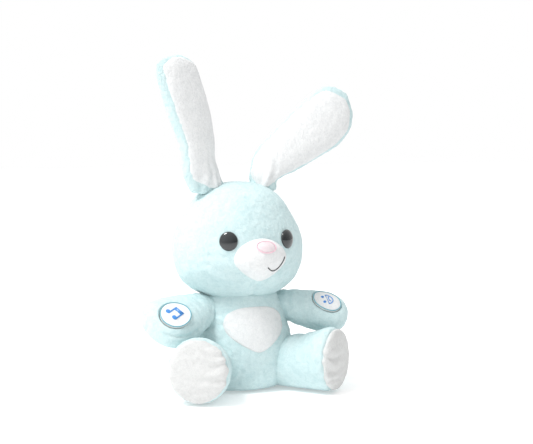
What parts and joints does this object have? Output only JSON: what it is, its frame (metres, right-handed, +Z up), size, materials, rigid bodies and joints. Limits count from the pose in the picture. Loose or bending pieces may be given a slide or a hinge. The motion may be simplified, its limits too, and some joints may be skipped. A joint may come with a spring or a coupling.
{
  "type": "interactive plush pet",
  "caption": "Sitting plush rabbit with motor-driven swinging ears, press switches in its paws, a speaker module and a battery tray in its back.",
  "frame": {"origin": "centre of the flat seat under the body, on the surface that the rabbit sits on", "axes": "+Z up, -Y the way the rabbit faces, +X towards its own left side"},
  "size_m": [0.2312, 0.1552, 0.3153],
  "materials": {
    "aqua_plush": "short-pile plush, pale aqua",
    "white_plush": "short-pile plush, white",
    "pink_thread": "satin-stitched patch, pale pink",
    "dark_thread": "stitched line, near black",
    "eye_plastic": "polished, near black",
    "case_plastic": "fine-textured moulded, light grey",
    "gear_plastic": "natural acetal",
    "board": "green solder mask",
    "black_plastic": "moulded, black",
    "cell_sleeve": "shrink sleeve, plain dark grey",
    "steel": "plain bright",
    "speaker_cone": "coated paper, black",
    "rubber": "silicone, grey",
    "lead": "insulated lead, red"
  },
  "bodies": {
    "body": {"head_plush": "aqua_plush", "body_plush": "aqua_plush", "right_arm": "aqua_plush", "left_arm": "aqua_plush", "right_leg": "aqua_plush", "left_leg": "aqua_plush", "right_sole": "white_plush", "left_sole": "white_plush", "muzzle": "white_plush", "belly_patch": "white_plush", "tail": "white_plush", "nose": "pink_thread", "mouth_stitch": "dark_thread", "right_eye": "eye_plastic", "left_eye": "eye_plastic", "right_eye_washer": "gear_plastic", "left_eye_washer": "gear_plastic", "right_paw_switch": "case_plastic", "left_paw_switch": "case_plastic", "right_contact_dome": "rubber", "left_contact_dome": "rubber", "right_paw_lead": "lead", "left_paw_lead": "lead", "motor_lead": "lead", "drive_axle": "steel", "idler_axle": "steel", "right_pivot_pin": "steel", "left_pivot_pin": "steel", "ear_motor": "steel", "gearbox_front": "case_plastic", "gearbox_rear": "case_plastic", "gearbox_screw_upper": "steel", "gearbox_screw_lower": "steel", "case_front": "case_plastic", "case_rear": "case_plastic", "battery_1": "cell_sleeve", "battery_2": "cell_sleeve", "battery_3": "cell_sleeve", "right_contact_strip": "steel", "left_contact_strip": "steel", "circuit_board": "board", "speaker": "steel", "speaker_cone": "speaker_cone"},
    "right_ear_swinger": {"right_ear_lever": "gear_plastic", "right_ear": "aqua_plush", "right_ear_lining": "white_plush"},
    "left_ear_swinger": {"left_ear_lever": "gear_plastic", "left_ear": "aqua_plush", "left_ear_lining": "white_plush"},
    "drive_wheel": {"drive_gear": "gear_plastic"},
    "idler_wheel": {"idler_gear": "gear_plastic"},
    "pinion": {"motor_pinion": "gear_plastic"},
    "right_paw_plunger": {"right_paw_button": "case_plastic", "right_paw_pad": "white_plush"},
    "left_paw_plunger": {"left_paw_button": "case_plastic", "left_paw_pad": "white_plush"},
    "switch_slider": {"power_switch": "black_plastic"},
    "door": {"battery_door": "case_plastic"},
    "screw": {"door_screw": "steel"}
  },
  "joints": [
    {"name": "right_ear_swing", "type": "hinge", "parent": "body", "child": "right_ear_swinger", "pos_m": [-0.02265, 0, 0.18], "axis": [0, 1, 0], "range_deg": [-25, 0]},
    {"name": "left_ear_swing", "type": "hinge", "parent": "body", "child": "left_ear_swinger", "pos_m": [0.02265, 0, 0.18], "axis": [0, 1, 0], "range_deg": [-25, 0]},
    {"name": "drive_gear_turn", "type": "hinge", "parent": "body", "child": "drive_wheel", "pos_m": [0, 0, 0.16354], "axis": [0, 1, 0], "range_deg": [0, 34]},
    {"name": "idler_gear_turn", "type": "hinge", "parent": "body", "child": "idler_wheel", "pos_m": [0, 0, 0.14514], "axis": [0, 1, 0], "range_deg": [-121, 0]},
    {"name": "motor_pinion_turn", "type": "hinge", "parent": "body", "child": "pinion", "pos_m": [0, 0, 0.12674], "axis": [0, 1, 0], "range_deg": [0, 433]},
    {"name": "right_paw_press", "type": "slide", "parent": "body", "child": "right_paw_plunger", "axis": [0.2404, 0.6209, -0.7461], "range_m": [0, 0.0012], "stiffness_N_per_m": 900, "springref_m": -0.0008},
    {"name": "left_paw_press", "type": "slide", "parent": "body", "child": "left_paw_plunger", "axis": [-0.1203, 0.5414, -0.8321], "range_m": [0, 0.0012], "stiffness_N_per_m": 900, "springref_m": -0.0008},
    {"name": "power_switch_slide", "type": "slide", "parent": "body", "child": "switch_slider", "axis": [1, 0, 0], "range_m": [0, 0.004]},
    {"name": "battery_door_lift", "type": "slide", "parent": "body", "child": "door", "axis": [0, 1, 0], "range_m": [0, 0.04]},
    {"name": "door_screw_turn", "type": "hinge", "parent": "door", "child": "screw", "pos_m": [0, 0.033, 0.0345], "axis": [0, 1, 0], "continuous": true}
  ],
  "couplings": [
    {"joint": "left_ear_swing", "follows": "right_ear_swing", "ratio": 1},
    {"joint": "drive_gear_turn", "follows": "right_ear_swing", "ratio": -1.3333},
    {"joint": "idler_gear_turn", "follows": "right_ear_swing", "ratio": 4.8},
    {"joint": "motor_pinion_turn", "follows": "right_ear_swing", "ratio": -17.28}
  ]
}
